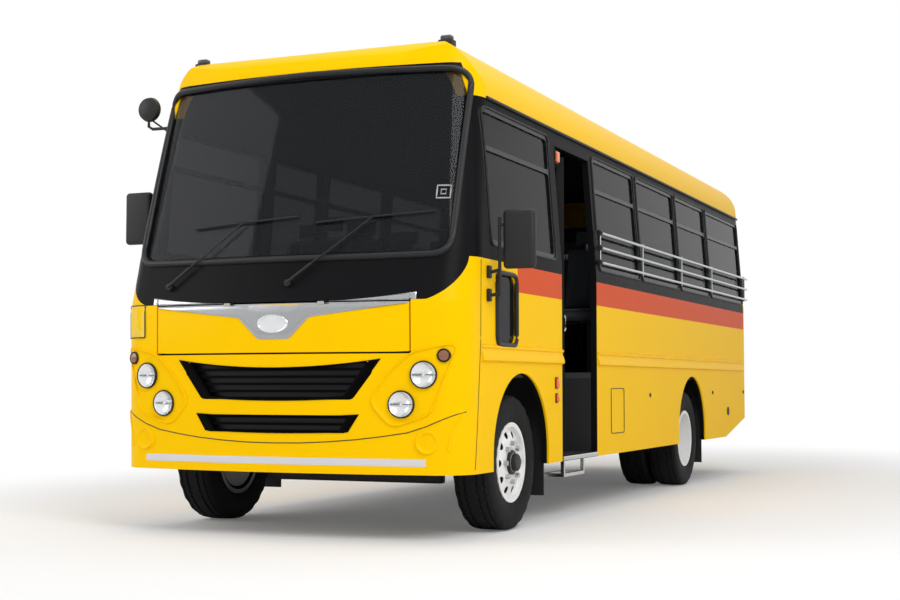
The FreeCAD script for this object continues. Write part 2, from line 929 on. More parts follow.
def side_panel(bays, doorway):
    """One side wall with its windows, wheel arches and raised tail; the left one has the doorway too.

    The windscreen's opening runs a little way into the wall's front corner.
    """
    zone = prism("YZ", side_corners, 0, far_x, "side_zone")
    tools = [screen_opening(0)] + [window_plate(bay, 0, "window") for bay in bays]
    for axle_y in (front_axle_y, rear_axle_y):
        tools.append(rod("x", size.arch_radius, 0, far_x, y=axle_y, z=size.arch_centre_z, name="arch"))
        tools.append(block((0, far_x), (axle_y - size.arch_radius, axle_y + size.arch_radius),
                           (0, size.arch_centre_z), "arch_foot"))
    tools.append(tail_ramp())
    if doorway:
        door_y = (along(size.door_start), along(size.door_end))
        tools.append(block((0, far_x), door_y, (size.door_sill_z, size.door_top_z), "doorway"))
        kerb_y = (along(size.kerb_window_start), along(size.kerb_window_end))
        kerb_z = (size.kerb_window_low_z, size.kerb_window_high_z)
        tools.append(plate((0, far_x), kerb_y, kerb_z, size.kerb_window_radius, "x", "kerb_window"))
    panel = cut(common(shell, zone), tools)
    if doorway:
        return fuse([panel, pivot_block((size.door_top_z - size.pivot_height, size.door_top_z))])
    return panel


def tail_ramp():
    """The wedge taken off the tail's underside."""
    corners = [
        (tail_y - size.tail_ramp_length, 0), (behind_y, 0), (behind_y, size.skirt_z + size.tail_ramp_rise),
        (tail_y, size.skirt_z + size.tail_ramp_rise), (tail_y - size.tail_ramp_length, size.skirt_z),
    ]
    return prism("YZ", corners, -far_x, far_x, "tail_ramp")


def side_panels():
    """Both side walls; only the left one has the doorway."""
    keep("side_left", side_panel(left_bays, True))
    keep("side_right", mirrored(side_panel(right_bays, False)))


def roof():
    """The roof above the cant line, back from the brow."""
    low = prism("YZ", front_corners, -far_x - size.overrun, far_x + size.overrun, "below_brow")
    rest = block((-far_x, far_x), (cant_seam_y, behind_y), (0, size.cant_z), "below_roof")
    lower = block((-far_x, far_x), (ahead_y, cant_seam_y + size.overrun), (0, size.cant_z), "below_front")
    return keep("roof", cut(shell, [low, rest, lower]))


def exit_plate(x, z, radius, depth, name):
    """A rounded plate across the rear wall, centred on the bus."""
    return plate((-x, x), depth, z, radius, "y", name)


def rear_wall():
    """The tail's panel round the emergency door, with its two panes and the plate's holes."""
    zone = block((-far_x, far_x), (rear_seam_y, behind_y), (0, size.cant_z), "rear_zone")
    half = size.exit_half_width + size.exit_gap
    z = (size.exit_low_z - size.exit_gap, size.exit_high_z + size.exit_gap)
    depth = (rear_seam_y, behind_y)
    tools = [exit_plate(half, z, size.exit_radius + size.exit_gap, depth, "exit_hole"), tail_ramp()]
    for side in (1, -1):
        spot = {"x": side * size.plate_hole_spacing / 2, "z": size.plate_z}
        tools.append(rear_pane(side, depth, 0))
        tools.append(rod("y", size.plate_hole_radius, depth[0], depth[1], name="plate_hole", **spot))
    return keep("rear_wall", fuse([cut(common(shell, zone), tools)] + exit_hinges(False)))


exit_axis_x = size.exit_half_width + size.exit_gap / 2
exit_axis_y = tail_y + size.exit_pin_lead


def exit_hinges(moving):
    """The rear door's hinge halves: the wall has the lower barrels and pins, the door the upper barrels."""
    radius, length = size.exit_barrel_radius, size.exit_barrel_length
    halves = []
    for middle in (size.exit_low_z + size.exit_hinge_inset, size.exit_high_z - size.exit_hinge_inset):
        if moving:
            z = (middle + size.pin_gap, middle + length)
            x = (exit_axis_x - size.exit_strap_length, exit_axis_x)
        else:
            z = (middle - length, middle)
            x = (exit_axis_x, exit_axis_x + size.exit_strap_length)
        barrel = rod("z", radius, z[0], z[1], x=exit_axis_x, y=exit_axis_y, name="exit_barrel")
        strap = block(x, (tail_y, tail_y + size.exit_strap), z, "exit_strap")
        tab = block((exit_axis_x - radius, exit_axis_x) if moving else (exit_axis_x, exit_axis_x + radius),
                    (tail_y, exit_axis_y), z, "exit_tab")
        pin_top = middle + length
        if moving:
            bore = rod("z", size.exit_pin_radius + size.pin_gap, z[0], z[1], x=exit_axis_x, y=exit_axis_y)
            halves.append(cut(fuse([barrel, strap, tab]), [bore]))
        else:
            pin = rod("z", size.exit_pin_radius, z[0], pin_top, x=exit_axis_x, y=exit_axis_y, name="exit_pin")
            halves.append(fuse([barrel, strap, tab, pin]))
    return halves


def rear_pane(side, depth, margin):
    """The window beside the emergency door, on one side."""
    near = size.exit_half_width + size.exit_glass_margin
    x = (near + margin, near + size.rear_window_width - margin)
    if side < 0:
        x = (-x[1], -x[0])
    z = (size.exit_glass_low_z + margin, size.exit_high_z - margin)
    return plate(x, depth, z, size.exit_radius, "y", "rear_pane")


def emergency_door():
    """Rear door panel, as thick as the wall, with its window cut and its hinge barrels on the outside."""
    depth = (tail_y - size.wall, tail_y)
    x = size.exit_half_width
    panel = exit_plate(x, (size.exit_low_z, size.exit_high_z), size.exit_radius, depth, "exit_panel")
    door = cut(panel, [exit_glass_hole(0, (rear_seam_y, behind_y))])
    keep("emergency_door", fuse([door] + exit_hinges(True)))
    glass_y = (tail_y - size.glass_inset - size.glass, tail_y - size.glass_inset)
    keep("emergency_glass", exit_glass_hole(0, glass_y))


def exit_glass_hole(margin, depth):
    """The emergency door's own window."""
    half = size.exit_half_width - size.exit_glass_margin - margin
    z = (size.exit_glass_low_z, size.exit_high_z - size.exit_glass_margin)
    return plate((-half, half), depth, z, size.exit_radius, "y", "exit_glass")


def straight_layer(inset, thickness, name):
    """A slab along the straight part of the left wall, following its lean at a depth below its outer face."""
    outer_x = size.half_width - inset
    shift = (size.cant_z - size.waist_z) * SIDE_LEAN_SHARE
    corners = [
        (outer_x - thickness, size.waist_z), (outer_x, size.waist_z),
        (outer_x - shift, size.cant_z), (outer_x - thickness - shift, size.cant_z),
    ]
    return prism("XZ", corners, nose_y, tail_y, name)


def panes(bay):
    """The lower and the upper pane of one window, as blocks out through the left wall."""
    y = (along(bay[0]) + size.sash, along(bay[1]) - size.sash)
    low = (window_z[0] + size.sash, size.window_bar_z - size.sash / 2)
    high = (size.window_bar_z + size.sash / 2, window_z[1] - size.sash)
    return [plate((0, far_x), y, z, size.sash, "x", "pane") for z in (low, high)]


def window_frames():
    """Dark sliding-window frames with their mid bars, left and right; the cab's follow the curved corner."""
    straight = straight_layer(0, size.wall, "frame_layer")

    def side(bays):
        frames = []
        for bay in bays:
            frame = cut(window_plate(bay, 0, "frame"), panes(bay))
            frames.append(common(shell if bay is cab_bay else straight, frame))
        return gather(frames)

    left = side(left_bays)
    right = mirrored(side(right_bays))
    keep("window_frames", gather([left, right]))


def side_glass():
    """Panes that lie in the frames, along the lean of the wall; the cab's follow the curved corner."""
    straight = straight_layer(size.glass_inset, size.glass, "pane_layer")

    def side(bays):
        glass = []
        for bay in bays:
            glass += [common(glass_layer if bay is cab_bay else straight, pane) for pane in panes(bay)]
        return gather(glass)

    kerb_y = (along(size.kerb_window_start), along(size.kerb_window_end))
    kerb_z = (size.kerb_window_low_z, size.kerb_window_high_z)
    kerb_x = (size.half_width - size.glass_inset - size.glass, size.half_width - size.glass_inset)
    kerb = plate(kerb_x, kerb_y, kerb_z, size.kerb_window_radius, "x", "kerb_glass")
    rear_y = (tail_y - size.glass_inset - size.glass, tail_y - size.glass_inset)
    rear = [rear_pane(side_sign, rear_y, 0) for side_sign in (1, -1)]
    keep("side_glass", gather([side(left_bays), mirrored(side(right_bays)), kerb] + rear))


def seated(item, name="seated"):
    """Trims a fitting to the body's outer face, so that it seats there."""
    return cut(item, [outer], name)


def lamps():
    """Head, turn, marker and tail lamps, each a body in its seat."""
    bodies = []
    for x, z, radius, setback in LAMPS:
        low = nose_y + setback - size.lamp_proud
        high = nose_y + setback + size.wall + size.lamp_proud * 2
        for side in (1, -1):
            bodies.append(rod("y", radius, low, high, x=side * x, z=z, name="lamp"))
    outside = []
    marker_y = nose_y + size.marker_setback
    for side in (1, -1):
        low = side * size.marker_x - size.marker_length / 2
        y = (marker_y, marker_y + size.marker_width)
        z = (size.marker_low_z, size.marker_low_z + size.marker_height * 2)
        outside.append(block((low, low + size.marker_length), y, z, "marker"))
        low = side * size.tail_lamp_x - size.tail_lamp_width / 2
        y = (tail_y - size.wall / 2, tail_y + size.tail_lamp_depth)
        z = (size.tail_lamp_z, size.tail_lamp_z + size.tail_lamp_height)
        outside.append(block((low, low + size.tail_lamp_width), y, z, "tail_lamp"))
    return keep("lamps", gather(bodies + [seated(gather(outside))]))


def floor():
    """Flat floor that stops short of the grille and lamps, with the entry well cut out."""
    z = (size.floor_z - size.floor_thickness, size.floor_z)
    slab = block((-far_x, far_x), (floor_front_y, behind_y), z, "slab")
    well = block((well_x, far_x), (along(size.door_start), along(size.door_end)), (0, size.roof_z), "well")
    return keep("floor", cut(common(inner, slab), [well]))


floor_front_y = nose_y + size.floor_front_setback
well_x = inner_x - size.step_depth - size.step_two_depth
riser_x = inner_x - size.step_depth
under_floor_z = size.floor_z - size.floor_thickness
door_face_x = size.half_width - (size.door_top_z - size.waist_z) * SIDE_LEAN_SHARE - size.leaf_recess
leaf_mid_x = door_face_x - size.leaf_thickness / 2
post_y = along(size.door_start) + size.leaf_gap + size.leaf_edge


def entry_steps():
    """Bent step sheets with closed ends, and the folding door's lower pivot block on the first tread."""
    one, two, sheet_size = size.door_sill_z, size.step_two_z, size.step_sheet
    corners = [
        (inner_x, one - sheet_size), (inner_x, one), (riser_x, one), (riser_x, two),
        (well_x, two), (well_x, under_floor_z),
        (well_x - sheet_size, under_floor_z), (well_x - sheet_size, two - sheet_size),
        (riser_x - sheet_size, two - sheet_size), (riser_x - sheet_size, one - sheet_size),
    ]
    y = (along(size.door_start), along(size.door_end))
    treads = prism("XZ", corners, y[0], y[1], "treads")
    cheek_corners = [
        (inner_x, one - sheet_size), (inner_x, under_floor_z), (well_x - sheet_size, under_floor_z),
        (well_x - sheet_size, two - sheet_size), (riser_x - sheet_size, two - sheet_size),
        (riser_x - sheet_size, one - sheet_size),
    ]
    cheeks = [
        prism("XZ", cheek_corners, y[0] - size.cheek, y[0], "cheek"),
        prism("XZ", cheek_corners, y[1], y[1] + size.cheek, "cheek"),
    ]
    return keep("entry_steps", fuse([treads, pivot_block((one, one + size.pivot_height))] + cheeks))


def pivot_block(z):
    """A block that holds one end of the folding door's post pin."""
    half = size.pivot_half_width
    solid = block((leaf_mid_x - half, leaf_mid_x + half), (along(size.door_start), post_y + half), z, "pivot")
    bore_radius = size.hinge_pin_radius + size.pin_gap
    return cut(solid, [rod("z", bore_radius, z[0], z[1], x=leaf_mid_x, y=post_y, name="pivot_bore")])


def foot_step():
    """Bright step frame hung below the doorway."""
    bar = size.foot_step_bar
    x = (inner_x - size.foot_step_depth, inner_x)
    middle = along((size.door_start + size.door_end) / 2)
    y = (middle - size.foot_step_width / 2, middle + size.foot_step_width / 2)
    z = (size.foot_step_z, size.foot_step_z + bar)
    hole = block((x[0] + bar, x[1] - bar), (y[0] + bar, y[1] - bar), z, "foot_hole")
    frame = cut(block(x, y, z, "foot_frame"), [hole])
    legs = []
    for side_y in ((y[0], y[0] + bar), (y[1] - bar, y[1])):
        legs.append(block((x[1] - bar, x[1]), side_y, (z[1], size.door_sill_z - size.step_sheet), "foot_leg"))
    return keep("foot_step", fuse([frame] + legs))


rail_low_z = size.rail_top_z - size.rail_height
frame_y = (nose_y + size.frame_front_setback, tail_y - size.frame_rear_setback)


def chassis_frame():
    """The ladder frame's two channel rails, open towards each other."""
    web = size.rail_web
    outer_face, inner_face = size.rail_outer_x, size.rail_outer_x - size.rail_width
    corners = [
        (inner_face, rail_low_z), (outer_face, rail_low_z),
        (outer_face, size.rail_top_z), (inner_face, size.rail_top_z),
        (inner_face, size.rail_top_z - web), (outer_face - web, size.rail_top_z - web),
        (outer_face - web, rail_low_z + web), (inner_face, rail_low_z + web),
    ]
    rail = prism("XZ", corners, frame_y[0], frame_y[1], "rail")
    return keep("chassis_frame", gather([rail, mirrored(rail)]))


def cross_member(start):
    """A box member fitted between the rails' flanges, web to web."""
    web = size.rail_web
    reach = size.rail_outer_x - web
    z = (rail_low_z + web, size.rail_top_z - web)
    return block((-reach, reach), (start, start + size.cross_member), z, "cross_member")


def cross_members():
    """Members under the window pillars, and one at each end of the frame with a bored towing lug."""
    half = size.tow_lug_half_width
    lug_x = (-half, half)
    lug_z = (rail_low_z + size.rail_web * 2 - size.tow_lug_height, rail_low_z + size.rail_web * 2)
    members = [cross_member(along(pillar)) for pillar in PILLARS[:-1]]
    for end, way in ((frame_y[0], -1), (frame_y[1], 1)):
        tip = end + way * size.tow_lug_length / 2
        root = end - way * size.cross_member
        near, far = (tip, root) if way < 0 else (root, tip)
        member = cross_member(end if way < 0 else root)
        lug = block(lug_x, (near, far), lug_z, "tow_lug")
        bore_y = tip - way * size.tow_bore_edge
        bore = rod("z", size.tow_bore_radius, lug_z[0], lug_z[1], y=bore_y, name="tow_bore")
        members.append(cut(fuse([member, lug]), [bore]))
    return keep("cross_members", gather(members))


def floor_bearers():
    """Bearers that lie across the rails and carry the floor."""
    half = size.outrigger_width / 2
    z = (size.rail_top_z, under_floor_z)
    bearers = []
    for middle in bearer_places():
        bearers.append(block((-inner_x, inner_x), (middle - half, middle + half), z, "bearer"))
    return keep("floor_bearers", gather(bearers))


def bearer_places():
    """Floor bearers: one behind each wheel arch, the rest under the window pillars."""
    return [
        front_axle_y + size.mudflap_offset, rear_axle_y + size.mudflap_offset,
        along(size.pillar_one) + size.outrigger_width, along(size.pillar_two), along(size.pillar_three),
        along(size.pillar_five) - size.outrigger_width * 2, front_axle_y - size.mudflap_offset,
    ]


def front_axle():
    """Dropped beam with a boss and kingpin at each end."""
    drop_z = axle_z - size.axle_drop
    half = size.axle_beam_height / 2
    ramp_x = size.kingpin_x - size.axle_drop * 2
    corners = [
        (-size.kingpin_x, axle_z - half), (-ramp_x, axle_z - half), (-ramp_x + size.axle_drop, drop_z - half),
        (ramp_x - size.axle_drop, drop_z - half), (ramp_x, axle_z - half), (size.kingpin_x, axle_z - half),
        (size.kingpin_x, axle_z + half), (ramp_x, axle_z + half), (ramp_x - size.axle_drop, drop_z + half),
        (-ramp_x + size.axle_drop, drop_z + half), (-ramp_x, axle_z + half), (-size.kingpin_x, axle_z + half),
    ]
    width = size.axle_beam_width / 2
    parts = [prism("XZ", corners, front_axle_y - width, front_axle_y + width, "beam")]
    pin = size.axle_end_half_height + size.face_gap + size.knuckle_ear
    end = size.axle_end_half_height
    for side in (1, -1):
        spot = {"x": side * size.kingpin_x, "y": front_axle_y}
        parts.append(rod("z", size.axle_end_radius, axle_z - end, axle_z + end, name="boss", **spot))
        parts.append(rod("z", size.kingpin_radius, axle_z - pin, axle_z + pin, name="kingpin", **spot))
    return keep("front_axle", fuse(parts))


wheel_x = size.tyre_face_x - size.tyre_width / 2
bead = size.tyre_width * BEAD_SHARE


def knuckles():
    """Steering knuckles: a fork over the axle's end, its web and the stub axle."""
    low = axle_z - size.axle_end_half_height - size.face_gap - size.knuckle_ear
    high = axle_z + size.axle_end_half_height + size.face_gap + size.knuckle_ear
    half = size.knuckle_width / 2
    web_near = size.kingpin_x + size.knuckle_web_offset
    web_x = (web_near, web_near + size.knuckle_web)
    y = (front_axle_y - half, front_axle_y + half)
    parts = [block(web_x, y, (low, high), "web")]
    for z in ((low, low + size.knuckle_ear), (high - size.knuckle_ear, high)):
        parts.append(block((size.kingpin_x, web_x[1]), y, z, "ear"))
        parts.append(rod("z", half, z[0], z[1], x=size.kingpin_x, y=front_axle_y, name="ear_end"))
    stub_end = wheel_x + size.hub_bore_depth - size.face_gap
    parts.append(rod("x", size.stub_radius, web_x[1], stub_end, y=front_axle_y, z=axle_z, name="stub"))
    bore_radius = size.kingpin_radius + size.pin_gap
    left = cut(fuse(parts), [rod("z", bore_radius, low, high, x=size.kingpin_x, y=front_axle_y, name="bore")])
    keep("knuckle_left", left)
    keep("knuckle_right", mirrored(left))


def tyre_corners(middle):
    """Half of a tyre's section, as (place along the axle, radius)."""
    half = size.tyre_width / 2
    tread = size.tyre_width * TREAD_SHARE
    shoulder = size.tyre_radius - size.tyre_shoulder
    wall_low = size.rim_flange_radius + size.tyre_shoulder / 2
    right = [
        (bead, size.rim_radius), (bead, size.rim_flange_radius), (half, wall_low, size.tyre_wall_radius),
        (half, shoulder, size.tyre_wall_radius), (tread, size.tyre_radius, size.tyre_tread_radius),
    ]
    left = [(-corner[0],) + corner[1:] for corner in reversed(right)]
    return [(middle + corner[0],) + corner[1:] for corner in right + left]


def vents(middle, low, high, axle_y):
    """Round the disc, the openings between the rim and the nuts."""
    rods = []
    for step in range(VENT_COUNT):
        angle = math.radians(360 / VENT_COUNT * step)
        y = axle_y + size.vent_circle_radius * math.cos(angle)
        z = middle + size.vent_circle_radius * math.sin(angle)
        rods.append(rod("x", size.vent_radius, low, high, y=y, z=z, name="vent"))
    return rods


def front_wheels():
    """Steel wheel with its hub and brake drum in one turned section, and the tyre on it."""
    bore = size.stub_radius + size.pin_gap
    flange, barrel = size.rim_flange_radius, size.rim_radius - size.rim_wall
    depth, disc = size.hub_bore_depth, size.disc_thickness
    lip = bead + size.rim_lip
    corners = [
        (-size.drum_offset, bore), (depth, bore), (depth, 0), (depth + size.hub_cap, 0),
        (depth + size.hub_cap, size.hub_cap_radius), (depth + disc, size.hub_cap_radius + disc),
        (depth + disc, size.nut_face_radius), (depth - disc, barrel - disc / 2), (depth - disc, barrel),
        (lip, barrel), (lip, flange), (bead, flange), (bead, size.rim_radius),
        (-bead, size.rim_radius), (-bead, flange), (-lip, flange), (-lip, barrel),
        (depth - disc * 3, barrel), (depth, size.nut_face_radius - disc), (depth, size.hub_radius),
        (size.drum_depth - size.drum_offset, size.hub_radius),
        (size.drum_depth - size.drum_offset, size.drum_radius),
        (-size.drum_offset, size.drum_radius),
    ]
    rim = spun(corners, "x", wheel_x, front_axle_y, axle_z, "rim")
    left = cut(rim, vents(axle_z, wheel_x, wheel_x + depth + size.hub_cap, front_axle_y))
    tyre = spun(tyre_corners(0), "x", wheel_x, front_axle_y, axle_z, "tyre")
    keep("rim_front_left", left)
    keep("rim_front_right", mirrored(left))
    keep("tyre_front_left", tyre)
    keep("tyre_front_right", mirrored(tyre))


def rear_wheels():
    """Twin wheels back to back on one hub and drum."""
    twin_x = size.tyre_face_x - size.tyre_width / 2 - size.twin_spacing / 2
    flange, barrel, disc = size.rim_flange_radius, size.rim_radius - size.rim_wall, size.disc_thickness
    middle = size.twin_spacing / 2
    lip = bead + size.rim_lip
    slope = middle - bead + disc
    corners = [
        (0, size.hub_radius), (disc, size.hub_radius), (disc, size.nut_face_radius), (slope + disc, barrel),
        (middle + lip, barrel), (middle + lip, flange), (middle + bead, flange),
        (middle + bead, size.rim_radius), (middle - bead, size.rim_radius),
        (middle - bead, flange), (middle - lip, flange), (middle - lip, barrel),
        (slope, barrel), (0, size.nut_face_radius),
    ]
    facing = [(-corner[0],) + corner[1:] for corner in reversed(corners)]
    outer_wheel = spun(corners, "x", twin_x, rear_axle_y, axle_z, "twin")
    inner_wheel = spun(facing, "x", twin_x, rear_axle_y, axle_z, "twin")
    bore = size.spindle_radius + size.pin_gap
    far, cap = middle + bead, size.hub_cap * 2
    hub_corners = [
        (-far, bore), (disc, bore), (disc, 0), (disc + cap, 0), (disc + cap, size.hub_cap_radius),
        (disc, size.hub_radius), (-size.twin_drum_gap, size.hub_radius),
        (-size.twin_drum_gap, size.drum_radius), (-far, size.drum_radius),
    ]
    hub = spun(hub_corners, "x", twin_x, rear_axle_y, axle_z, "hub")
    reach = middle * 2
    wheels = cut(fuse([outer_wheel, inner_wheel]), vents(axle_z, twin_x - reach, twin_x + reach, rear_axle_y))
    left = fuse([wheels, hub])
    tyres = gather([
        spun(tyre_corners(middle), "x", twin_x, rear_axle_y, axle_z, "tyre"),
        spun(tyre_corners(-middle), "x", twin_x, rear_axle_y, axle_z, "tyre"),
    ])
    keep("rims_rear_left", left)
    keep("rims_rear_right", mirrored(left))
    keep("tyres_rear_left", tyres)
    keep("tyres_rear_right", mirrored(tyres))


def rear_axle():
    """Banjo housing with tubes out to the spindles."""
    twin_x = size.tyre_face_x - size.tyre_width / 2 - size.twin_spacing / 2
    flange_x = twin_x - size.twin_spacing / 2 - bead - size.face_gap
    spindle_x = twin_x + size.disc_thickness - size.face_gap
    banjo = doc.addObject("Part::Sphere", spare("banjo"))
    bind(banjo, "Radius", size.banjo_radius)
    place(banjo, 0, rear_axle_y, axle_z)
    tube = rod("x", size.rear_tube_radius, -flange_x, flange_x, y=rear_axle_y, z=axle_z, name="tube")
    spindle = rod("x", size.spindle_radius, -spindle_x, spindle_x, y=rear_axle_y, z=axle_z, name="spindle")
    return keep("rear_axle", fuse([banjo, tube, spindle]))


def leaf_springs():
    """Bowed spring packs on both axles, with their hangers under the rails."""
    seats = (
        (front_axle_y, axle_z - size.axle_drop + size.axle_beam_height / 2),
        (rear_axle_y, axle_z + size.rear_tube_radius),
    )
    half = size.spring_half_length
    springs = []
    for middle, seat in seats:
        eye = seat + size.spring_camber
        top = eye + size.spring_height / 2
        clamp = size.spring_clamp
        corners = [
            (middle - half, eye), (middle - clamp, seat), (middle + clamp, seat), (middle + half, eye),
            (middle + half, top), (middle + clamp, seat + size.spring_height),
            (middle - clamp, seat + size.spring_height), (middle - half, top),
        ]
        x = (size.spring_x - size.spring_width / 2, size.spring_x + size.spring_width / 2)
        parts = [prism("YZ", corners, x[0], x[1], "leaves")]
        for start in (middle - half, middle + half - size.spring_eye):
            hanger_z = (top - size.spring_height / 4, rail_low_z)
            parts.append(block(x, (start, start + size.spring_eye), hanger_z, "hanger"))
        pack = fuse(parts)
        springs += [pack, mirrored(pack)]
    return keep("leaf_springs", gather(springs))


def driveline():
    """Engine as one plain block on its mounts, and the shaft back to the rear axle."""
    y = (nose_y + size.engine_front_setback, nose_y + size.engine_front_setback + size.engine_length)
    top = size.rail_top_z - size.engine_gap
    half = size.engine_half_width
    solid = block((-half, half), y, (size.engine_low_z, top), "engine")
    mounts_x = size.rail_outer_x - size.rail_width
    mid = (y[0] + y[1]) / 2
    mounts_y = (mid - size.cross_member / 2, mid + size.cross_member / 2)
    mounts = block((-mounts_x, mounts_x), mounts_y, (rail_low_z, rail_low_z + size.rail_height / 2), "mounts")
    keep("engine_block", fuse([solid, mounts]))
    start = (0, y[1], (size.engine_low_z + top) / 2)
    end = (0, rear_axle_y - size.banjo_radius / 2, axle_z)
    tail = doc.addObject("Part::Sphere", spare("banjo_face"))
    bind(tail, "Radius", size.banjo_radius)
    place(tail, 0, rear_axle_y, axle_z)
    keep("propeller_shaft", cut(strut(start, end, size.shaft_radius, "shaft"), [tail]))


def exhaust():
    """Silencer with its pipes and a strap up to a floor bearer."""
    start = along(size.silencer_start)
    end = start + size.silencer_length
    x, z = size.silencer_x, size.silencer_z
    can = rod("y", size.silencer_radius, start, end, x=x, z=z, name="silencer")
    reach = size.exhaust_reach
    pipe = rod("y", size.exhaust_radius, start - reach, end + reach, x=x, z=z, name="pipe")
    half = size.outrigger_width / 2
    middle = along(size.pillar_two)
    strap = block((x - half, x + half), (middle - half, middle + half), (z, size.rail_top_z), "strap")
    return keep("exhaust", fuse([can, pipe, strap]))


def fuel_tank():
    """Tank hung outside the right rail, under the floor bearers."""
    x = (-size.tank_x - size.tank_width, -size.tank_x)
    y = (along(size.tank_start), along(size.tank_start) + size.tank_length)
    z = (size.rail_top_z - size.tank_height, size.rail_top_z)
    return keep("fuel_tank", plate(x, y, z, size.tank_radius, "y", "tank"))


def dashboard():
    """Moulded dash across the cab, trimmed to the inside of the front."""
    front = nose_y + size.wall
    back = front + size.dash_setback + size.dash_depth
    top = size.dash_top_z
    shelf_z = size.mask_top_z + size.dash_shelf_rise
    corners = [
        (floor_front_y, size.floor_z), (back - size.dash_depth / 3, size.floor_z),
        (back, top - size.dash_depth / 2), (back, top, size.dash_radius),
        (back - size.dash_depth / 2, top + size.dash_hood, size.dash_radius),
        (ahead_y, top), (ahead_y, shelf_z), (floor_front_y, shelf_z),
    ]
    return keep("dashboard", common(prism("YZ", corners, -far_x, far_x, "dash"), inner))


def steering_wheel():
    """Wheel, spokes and column on the offside, tilted towards the driver; the column ends at the dash."""
    ring = doc.addObject("Part::Torus", spare("ring"))
    bind(ring, "Radius1", size.wheel_ring_radius)
    bind(ring, "Radius2", size.wheel_rim_radius)
    half = size.wheel_rim_radius / 2
    arm = size.wheel_ring_radius
    parts = [ring, block((-arm, arm), (-half, half), (-half, half), "spoke"),
             block((-half, half), (-arm, 0), (-half, half), "spoke"),
             rod("z", size.wheel_hub_radius, -half * 2, half * 2, name="wheel_hub"),
             rod("z", size.column_radius, -size.column_length, 0, name="column")]
    whole = fuse(parts)
    turn(whole, (-1, 0, 0), size.wheel_tilt)
    place(whole, size.wheel_x, nose_y + size.wheel_setback, size.wheel_z)
    return keep("steering_wheel", cut(whole, [nodes["dashboard"]]))


def bench(x, start, name="bench"):
    """One high-backed seat: cushion, back and leg frame in one profile."""
    seat, back = size.bench_seat_z, size.bench_back_z
    end = start + size.bench_depth
    leg = start + size.bench_depth / 2
    corners = [
        (leg, size.floor_z), (leg + size.bench_leg, size.floor_z),
        (leg + size.bench_leg, seat - size.bench_cushion),
        (end, seat - size.bench_cushion), (end + size.bench_back * 2, back), (end + size.bench_back, back),
        (end - size.bench_back, seat), (start, seat), (start, seat - size.bench_cushion),
        (leg, seat - size.bench_cushion),
    ]
    return prism("YZ", corners, x[0], x[1], name)


def seats():
    """Rows of passenger benches either side of the aisle, and the driver's seat."""
    right = (-inner_x + size.bench_gap, -inner_x + size.bench_gap + size.bench_width)
    left = (inner_x - size.bench_gap - size.bench_width, inner_x - size.bench_gap)
    rows = []
    for x, first, count_of_rows in (
        (left, size.bench_start_left, BENCH_ROWS_LEFT), (right, size.bench_start_right, BENCH_ROWS_RIGHT),
    ):
        rows += [bench(x, along(first) + size.bench_pitch * row) for row in range(count_of_rows)]
    keep("passenger_seats", gather(rows))
    half = size.seat_width / 2
    driver = (size.wheel_x - half, size.wheel_x + half)
    keep("driver_seat", bench(driver, nose_y + size.wheel_setback + size.driver_seat_start, "driver"))


def grab_poles():
    """Upright poles by the steps, floor to roof."""
    poles = []
    clear = size.grab_pole_radius * 3
    for y in (along(size.door_start) - clear, along(size.door_end) + clear):
        poles.append(rod("z", size.grab_pole_radius, size.floor_z, size.roof_z, size.grab_pole_x, y, name="pole"))
    return keep("grab_poles", common(gather(poles), inner))


def mirror(low_z, side_y):
    """Housing on two arms and an upright, drawn for the left side."""
    upright_x = size.mirror_reach - size.mirror_width - size.mirror_arm_radius * 2
    x = (size.mirror_reach - size.mirror_width, size.mirror_reach)
    y = (side_y - size.mirror_depth / 2, side_y + size.mirror_depth / 2)
    z = (low_z, low_z + size.mirror_height)
    arm = size.mirror_arm_radius
    parts = [plate(x, y, z, size.mirror_radius, "y", "mirror")]
    for level in (size.mirror_arm_low_z, size.mirror_arm_high_z):
        parts.append(rod("x", arm, inner_x, upright_x, y=side_y, z=level, name="arm"))
    parts.append(rod("z", arm, size.mirror_arm_low_z - arm, z[1], x=upright_x, y=side_y, name="upright"))
    for share in CLIP_SHARES:
        parts.append(rod("x", arm, upright_x, x[0] + size.mirror_radius, y=side_y,
                         z=low_z + size.mirror_height * share, name="clip"))
    return seated(fuse(parts))


def mirrors():
    """Left and right door mirrors and the round kerb mirror."""
    left = mirror(size.mirror_low_z, along(size.mirror_offset))
    right = mirrored(mirror(size.mirror_right_low_z, along(size.mirror_right_offset)))
    y = along(size.round_mirror_offset)
    x, z, arm = size.round_mirror_x, size.round_mirror_z, size.mirror_arm_radius
    disc = rod("y", size.round_mirror_radius, y - size.mirror_depth / 2, y + size.mirror_depth / 2, x=-x, z=z)
    upright = rod("z", arm, z - size.round_mirror_drop, z, x=-x, y=y)
    reach = rod("x", arm, -x, -inner_x, y=y, z=z - size.round_mirror_drop)
    return keep("mirrors", gather([left, right, seated(fuse([disc, upright, reach]))]))


def guard_rails():
    """Outside bars over the windows on stands at the pillars, both sides; they start behind the doorway."""
    rail_x = size.half_width + size.guard_stand - size.guard_radius * 2
    half = size.guard_radius
    y = (along(size.pillar_one), along(size.pillar_five) + size.guard_overhang)
    levels = [size.guard_low_z + size.guard_pitch * level for level in range(GUARD_BARS)]
    parts = [rod("y", half, y[0], y[1], x=rail_x, z=z, name="bar") for z in levels]
    stand_z = (levels[0] - half * 2, levels[-1] + half * 2)
    for middle in [y[0] + half] + [along(pillar) for pillar in PILLARS[1:]]:
        parts.append(block((inner_x, rail_x), (middle - half, middle + half), stand_z, "stand"))
    left = seated(fuse(parts))
    return keep("guard_rails", gather([left, mirrored(left)]))


